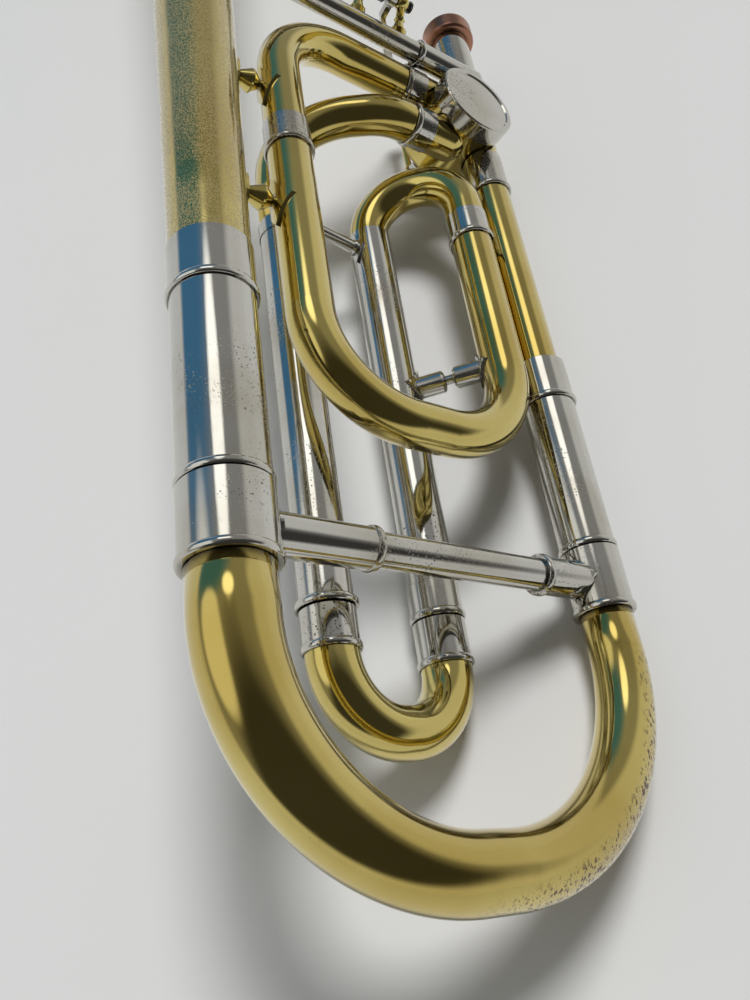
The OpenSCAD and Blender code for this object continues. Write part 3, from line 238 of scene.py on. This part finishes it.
def make_spring():
    curls = SPRING_CURLS * SPRING_PITCH
    points = [(-SPRING_LEAD, 0.0), (-SPRING_LEAD / 2, 0.0)]
    count = SPRING_CURLS * SPRING_STEPS
    for i in range(count + 1):
        points.append((curls * i / count, 2 * math.pi * SPRING_CURLS * i / count))
    points += [(curls + SPRING_LEAD / 2, points[-1][1]), (curls + SPRING_LEAD, points[-1][1])]
    start = Vector((SPRING_X + SPRING_LEAD, PIVOT_Y, PIVOT_Z))
    path = [
        start + Vector((x, SPRING_R * math.cos(q), SPRING_R * math.sin(q)))
        for x, q in points]
    stops = []
    for i, (_, q) in enumerate(points):
        way = (path[min(i + 1, len(path) - 1)] - path[max(i - 1, 0)]).normalized()
        out = Vector((0, math.cos(q), math.sin(q)))
        out = (out - way * way.dot(out)).normalized()
        stops.append((path[i], out, way.cross(out), SPRING_WIRE_R))
    return swept_wire("spring_wire", stops, SPRING_SIDES)


# Materials: scales of noise and pits count features per metre
PIT_EDGE = 0.06
BUMP_DEPTH = 0.0001


class Graph:
    """Nodes of one material. Each call makes nodes, fed with values or with other outputs."""

    def __init__(self, name):
        self.material = bpy.data.materials.new(name)
        self.material.use_nodes = True
        self.tree = self.material.node_tree
        self.shader = self.tree.nodes["Principled BSDF"]

    def feed(self, socket, value):
        if isinstance(value, bpy.types.NodeSocket):
            self.tree.links.new(value, socket)
        else:
            socket.default_value = value

    def add(self, kind, output, settings=None, **inputs):
        node = self.tree.nodes.new("ShaderNode" + kind)
        for key, value in (settings or {}).items():
            setattr(node, key, value)
        for key, value in inputs.items():
            self.feed(node.inputs[key.replace("_", " ")], value)
        return node.outputs[output]

    def place(self, along=1.0):
        """Coordinates in metres in the instrument's frame, with lengths along the tubes scaled."""
        spot = self.add("TexCoord", "Object")
        turn = LAID.transposed().to_euler()
        turned = self.add("Mapping", "Vector", Vector=spot, Rotation=turn)
        return self.add("Mapping", "Vector", Vector=turned, Scale=(1.0, along, 1.0))

    def noise(self, place, scale, detail=3.0):
        return self.add("TexNoise", "Fac", Vector=place, Scale=scale, Detail=detail)

    def band(self, value, low, high):
        """0 below low and 1 above high, smoothly; turned round where low is above high."""
        node = self.tree.nodes.new("ShaderNodeMapRange")
        node.interpolation_type = "SMOOTHSTEP"
        flip = low > high
        self.feed(node.inputs["Value"], value)
        self.feed(node.inputs["From Min"], min(low, high))
        self.feed(node.inputs["From Max"], max(low, high))
        self.feed(node.inputs["To Min"], 1.0 if flip else 0.0)
        self.feed(node.inputs["To Max"], 0.0 if flip else 1.0)
        return node.outputs["Result"]

    def math(self, operation, a, b=0.0):
        node = self.tree.nodes.new("ShaderNodeMath")
        node.operation = operation
        self.feed(node.inputs[0], a)
        self.feed(node.inputs[1], b)
        return node.outputs[0]

    def both(self, a, b):
        return self.math("MULTIPLY", a, b)

    def blend(self, share, first, second):
        node = self.tree.nodes.new("ShaderNodeMix")
        node.data_type = "RGBA"
        self.feed(node.inputs["Factor"], share)
        self.feed(node.inputs[6], first)
        self.feed(node.inputs[7], second)
        return node.outputs[2]

    def pits(self, place, scale, largest):
        """Round pits of many sizes: each cell's own draw sets how large its pit is."""
        cells = self.tree.nodes.new("ShaderNodeTexVoronoi")
        self.feed(cells.inputs["Vector"], place)
        self.feed(cells.inputs["Scale"], scale)
        draw = self.add("SeparateColor", "Red", Color=cells.outputs["Color"])
        size = self.both(self.math("POWER", draw, 3.0), largest)
        return self.band(
            self.math("SUBTRACT", cells.outputs["Distance"], size), PIT_EDGE, -PIT_EDGE)

    def crevice_shade(self, reach):
        """Mask for painted shade, from ambient occlusion: 1 in corners and seams nearer than reach, 0 on open
        surfaces.
        """
        open_share = self.add("AmbientOcclusion", "AO", {"samples": 6}, Distance=reach)
        return self.band(open_share, 0.85, 0.35)

    def bump(self, height, strength, distance):
        return self.add("Bump", "Normal", Height=height, Strength=strength, Distance=distance)

    def finish(self, colour, roughness, normal, metallic=1.0):
        self.feed(self.shader.inputs["Base Color"], colour)
        self.feed(self.shader.inputs["Roughness"], roughness)
        self.feed(self.shader.inputs["Normal"], normal)
        self.feed(self.shader.inputs["Metallic"], metallic)
        return self.material


def rgb(red, green, blue):
    return (red, green, blue, 1.0)


LACQUERED = rgb(0.70, 0.565, 0.16)
DEEP_GOLD = rgb(0.58, 0.43, 0.09)
DULLED = rgb(0.42, 0.33, 0.15)
FROSTED = rgb(0.40, 0.31, 0.13)
RUBBED = rgb(0.50, 0.38, 0.22)
RED_ROT = rgb(0.11, 0.05, 0.016)
NICKEL = rgb(0.66, 0.645, 0.595)
NICKEL_STAIN = rgb(0.50, 0.46, 0.38)
# Dark colour for real grime in pits, dust and dark steel, and for painted shade in crevices and seams
GRIME_AND_SHADE = rgb(0.045, 0.035, 0.02)
COPPER = rgb(0.50, 0.24, 0.155)
COPPER_DULL = rgb(0.33, 0.17, 0.12)
BARE_BRASS = rgb(0.56, 0.42, 0.17)
STEEL = rgb(0.12, 0.12, 0.125)
CORK = rgb(0.30, 0.17, 0.08)
CORK_DARK = rgb(0.11, 0.055, 0.025)


def lacquered_brass(name, speckle):
    """Brass under old lacquer. Speckle is how much of it is frosted, where the lacquer is gone."""
    g = Graph(name)
    place = g.place()
    streaks = g.place(along=0.35)
    cloud = g.noise(place, 26.0)
    ripple = g.noise(g.place(along=0.2), 150.0, 2.0)
    worn = g.noise(place, 30.0, 4.0)
    rub = g.add("Attribute", "Fac", {"attribute_name": "rub"})
    amount = g.math("MAXIMUM", g.band(worn, 0.74 - speckle, 1.04 - speckle), rub)
    frost = g.math("ADD", g.noise(place, 2600.0, 3.0), g.both(amount, 0.28))
    frost = g.band(frost, 0.75, 0.81)
    dusty = g.band(g.math("ADD", worn, g.both(rub, 0.5)), 0.66, 0.84)
    dust = g.both(g.pits(streaks, 2000.0, 0.5), dusty)
    scuffed = g.band(g.math("ADD", g.both(worn, 0.7), rub), 0.58, 1.08)
    scuffs = g.both(g.pits(g.place(along=0.6), 1150.0, 0.8), scuffed)
    marks = g.math("MAXIMUM", dust, scuffs)
    colour = g.blend(g.band(cloud, 0.35, 0.7), LACQUERED, DEEP_GOLD)
    colour = g.blend(g.both(frost, 0.9), colour, FROSTED)
    colour = g.blend(g.both(g.both(rub, frost), 0.8), colour, RUBBED)
    colour = g.blend(g.both(marks, 0.9), colour, RED_ROT)
    # Painted shade: darker in crevices and seams, from ambient occlusion
    colour = g.blend(g.both(g.crevice_shade(0.0022), 0.8), colour, GRIME_AND_SHADE)
    rough = g.math("ADD", g.both(cloud, 0.05), g.both(frost, 0.35))
    rough = g.math("ADD", rough, g.both(marks, 0.4))
    dulled = g.math("MAXIMUM", g.math("SUBTRACT", g.both(frost, 0.65), marks), 0.0)
    height = g.math("SUBTRACT", g.both(ripple, 0.8), marks)
    g.shader.inputs["Coat Weight"].default_value = 1.0
    g.shader.inputs["Coat Roughness"].default_value = 0.06
    rough = g.math("ADD", rough, 0.08)
    shine = g.math("SUBTRACT", 1.0, dulled)
    return g.finish(colour, rough, g.bump(height, 0.25, BUMP_DEPTH), shine)


def nickel_silver():
    g = Graph("nickel_silver")
    place = g.place()
    cloud = g.noise(place, 40.0, 5.0)
    brushed = g.noise(g.place(along=0.12), 1600.0, 2.0)
    worn = g.noise(place, 42.0, 4.0)
    frost = g.math("ADD", g.noise(place, 2800.0, 3.0), g.both(g.band(cloud, 0.45, 0.7), 0.2))
    frost = g.band(frost, 0.72, 0.80)
    dust = g.both(g.pits(place, 1900.0, 0.5), g.band(worn, 0.48, 0.62))
    pits = g.both(g.pits(place, 750.0, 0.28), g.band(worn, 0.5, 0.6))
    marks = g.math("MAXIMUM", dust, pits)
    colour = g.blend(g.both(g.band(cloud, 0.4, 0.7), 0.7), NICKEL, NICKEL_STAIN)
    colour = g.blend(g.both(marks, 0.9), colour, GRIME_AND_SHADE)
    # Painted shade: darker in crevices and seams, from ambient occlusion
    colour = g.blend(g.both(g.crevice_shade(0.002), 0.85), colour, GRIME_AND_SHADE)
    rough = g.math("ADD", g.both(brushed, 0.06), g.both(g.band(cloud, 0.45, 0.75), 0.08))
    rough = g.math("ADD", rough, g.both(frost, 0.25))
    rough = g.math("ADD", rough, g.both(marks, 0.4))
    dulled = g.math("MAXIMUM", g.both(frost, 0.3), g.both(marks, 0.9))
    height = g.math("SUBTRACT", g.both(brushed, 0.25), marks)
    rough = g.math("ADD", rough, 0.04)
    shine = g.math("SUBTRACT", 1.0, dulled)
    return g.finish(colour, rough, g.bump(height, 0.2, BUMP_DEPTH), shine)


def worn_copper():
    g = Graph("worn_copper")
    place = g.place()
    cloud = g.noise(place, 90.0, 5.0)
    turned = g.noise(g.place(along=12.0), 220.0, 2.0)
    colour = g.blend(g.band(cloud, 0.38, 0.66), COPPER, COPPER_DULL)
    # Painted shade: darker in crevices and seams, from ambient occlusion
    colour = g.blend(g.both(g.crevice_shade(0.002), 0.8), colour, GRIME_AND_SHADE)
    rough = g.math("ADD", g.both(cloud, 0.2), 0.22)
    return g.finish(colour, rough, g.bump(turned, 0.25, BUMP_DEPTH))


def bare_brass():
    g = Graph("bare_brass")
    turned = g.noise(g.place(along=8.0), 260.0, 3.0)
    cloud = g.noise(g.place(), 120.0)
    colour = g.blend(g.band(cloud, 0.4, 0.7), BARE_BRASS, DULLED)
    rough = g.math("ADD", g.both(cloud, 0.15), 0.22)
    return g.finish(colour, rough, g.bump(turned, 0.2, BUMP_DEPTH))


def dark_steel():
    g = Graph("dark_steel")
    cloud = g.noise(g.place(), 600.0, 4.0)
    colour = g.blend(g.band(cloud, 0.35, 0.7), STEEL, GRIME_AND_SHADE)
    rough = g.math("ADD", g.both(cloud, 0.2), 0.25)
    return g.finish(colour, rough, g.bump(cloud, 0.15, BUMP_DEPTH))


def cork():
    g = Graph("cork")
    place = g.place()
    grain = g.pits(place, 1500.0, 0.7)
    cloud = g.noise(place, 700.0, 5.0)
    colour = g.blend(g.both(grain, 0.7), CORK, CORK_DARK)
    rough = g.math("ADD", g.both(cloud, 0.15), 0.75)
    height = g.math("SUBTRACT", cloud, grain)
    return g.finish(colour, rough, g.bump(height, 0.6, 3 * BUMP_DEPTH), metallic=0.0)


FINISHES = {
    "lacquered_brass": lacquered_brass("lacquered_brass", 0.0),
    "bell_brass": lacquered_brass("bell_brass", 0.6),
    "nickel_silver": nickel_silver(),
    "copper": worn_copper(),
    "bare_brass": bare_brass(),
    "dark_steel": dark_steel(),
    "cork": cork(),
}


def dress(piece, finish):
    piece.data.materials.clear()
    piece.data.materials.append(FINISHES[finish])


# The bell takes a more frosted kind of its slot's finish
for part in frame["record"]["subparts"]:
    finish = "bell_brass" if part["node"] == "bell" else part["material_slot"]
    dress(frame["nodes"][part["node"]], finish)

for made, node, body, slot in (
        (make_bow(), "main_crook", "main_tuning_slide", "lacquered_brass"),
        (make_return_tube(), "return_tube", "bell_section", "lacquered_brass"),
        (make_spring(), "lever_spring", "bell_section", "dark_steel")):
    dress(made, slot)
    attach(made, body)
    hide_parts(node)


# Studio: pale table, one soft key lamp high behind, and a dim room that is pale at the horizon,
# dark on the camera's side, cool low on the left, and lit from the left, the right and behind
TABLE_SIZE = 60.0
TABLE_WHITE = rgb(0.80, 0.80, 0.79)
TABLE_SHADE = rgb(0.75, 0.75, 0.74)
KEY_WAY = (-0.10, -0.51, -0.85)
KEY_WIDTH = 20
KEY_STRENGTH = 2.1
# Each patch of the room: the way to its middle, the cosines of its outer and inner rim, its colour
ROOM_GREY = rgb(0.27, 0.27, 0.265)
ROOM_PATCHES = (
    ((0.0, 0.0, 1.0), 0.90, 0.99, rgb(0.17, 0.17, 0.165)),
    ((0.25, -0.85, 0.45), 0.25, 0.60, rgb(0.045, 0.044, 0.041)),
    ((0.83, 0.52, 0.18), 0.85, 0.95, rgb(0.58, 0.58, 0.56)),
    ((-0.49, 0.79, 0.37), 0.74, 0.95, rgb(0.055, 0.165, 0.30)),
    ((-0.74, 0.06, 0.67), 0.88, 0.94, rgb(0.85, 0.85, 0.82)),
    ((-0.02, 0.51, 0.86), 0.972, 0.990, rgb(1.6, 1.59, 1.54)),
    ((0.0, 0.0, -1.0), -0.25, -0.08, rgb(0.60, 0.60, 0.59)),
)


def table_top():
    half = TABLE_SIZE / 2
    floor_z = cad_box[0].z
    corners = [(x * half, y * half, floor_z) for x, y in ((-1, -1), (1, -1), (1, 1), (-1, 1))]
    table = mesh_object("table", corners, [(0, 1, 2, 3)])
    g = Graph("table_white")
    cloud = g.noise(g.place(), 9.0)
    colour = g.blend(g.both(cloud, 0.25), TABLE_WHITE, TABLE_SHADE)
    table.data.materials.append(g.finish(colour, 0.45, g.bump(cloud, 0.02, 0.0002), metallic=0.0))


def key_lamp(way, width, strength):
    """Soft lamp that shines along a way; its width is the angle that it fills, in degrees."""
    light = bpy.data.lights.new("key_lamp", "SUN")
    light.angle = math.radians(width)
    light.energy = strength
    lamp = bpy.data.objects.new("key_lamp", light)
    lamp.rotation_euler = Vector(way).to_track_quat("-Z", "Y").to_euler()
    lamp.visible_glossy = False
    bpy.context.scene.collection.objects.link(lamp)


def room():
    world = bpy.data.worlds.new("room")
    bpy.context.scene.world = world
    world.use_nodes = True
    tree = world.node_tree
    way = tree.nodes.new("ShaderNodeTexCoord").outputs["Generated"]

    def patch(below, middle, low, high, colour):
        """Lays a colour over what is below it, where a ray runs nearer to middle than low."""
        near = tree.nodes.new("ShaderNodeVectorMath")
        near.operation = "DOT_PRODUCT"
        tree.links.new(way, near.inputs[0])
        near.inputs[1].default_value = Vector(middle).normalized()
        share = tree.nodes.new("ShaderNodeMapRange")
        share.interpolation_type = "SMOOTHSTEP"
        tree.links.new(near.outputs["Value"], share.inputs["Value"])
        share.inputs["From Min"].default_value = low
        share.inputs["From Max"].default_value = high
        mix = tree.nodes.new("ShaderNodeMix")
        mix.data_type = "RGBA"
        tree.links.new(share.outputs["Result"], mix.inputs["Factor"])
        if isinstance(below, bpy.types.NodeSocket):
            tree.links.new(below, mix.inputs[6])
        else:
            mix.inputs[6].default_value = below
        mix.inputs[7].default_value = colour
        return mix.outputs[2]

    colour = ROOM_GREY
    for middle, low, high, shade in ROOM_PATCHES:
        colour = patch(colour, middle, low, high, shade)
    tree.links.new(colour, tree.nodes["Background"].inputs["Color"])


table_top()
room()
key_lamp(KEY_WAY, KEY_WIDTH, KEY_STRENGTH)

# Camera: where the photograph was taken from
CAMERA_AT = (0.0227, -0.4017, 0.2516)
CAMERA_AZIMUTH = 5.46
CAMERA_DOWN = 59.28
CAMERA_ROLL = -2.68
CAMERA_LENS = 31.93
CAMERA_SENSOR = 36.0
CAMERA_NEAREST = 0.01

camera = bpy.data.objects.new("camera", bpy.data.cameras.new("camera"))
camera.data.lens = CAMERA_LENS
camera.data.sensor_width = CAMERA_SENSOR
camera.data.clip_start = CAMERA_NEAREST
camera.location = CAMERA_AT
heading = Euler((0, 0, math.radians(-CAMERA_AZIMUTH))).to_matrix()
tilt = Euler((math.radians(90 - CAMERA_DOWN), 0, 0)).to_matrix()
roll = Euler((0, 0, math.radians(CAMERA_ROLL))).to_matrix()
camera.rotation_euler = (heading @ tilt @ roll).to_euler()
bpy.context.scene.collection.objects.link(camera)
bpy.context.scene.camera = camera
bpy.context.scene.view_settings.view_transform = "Standard"
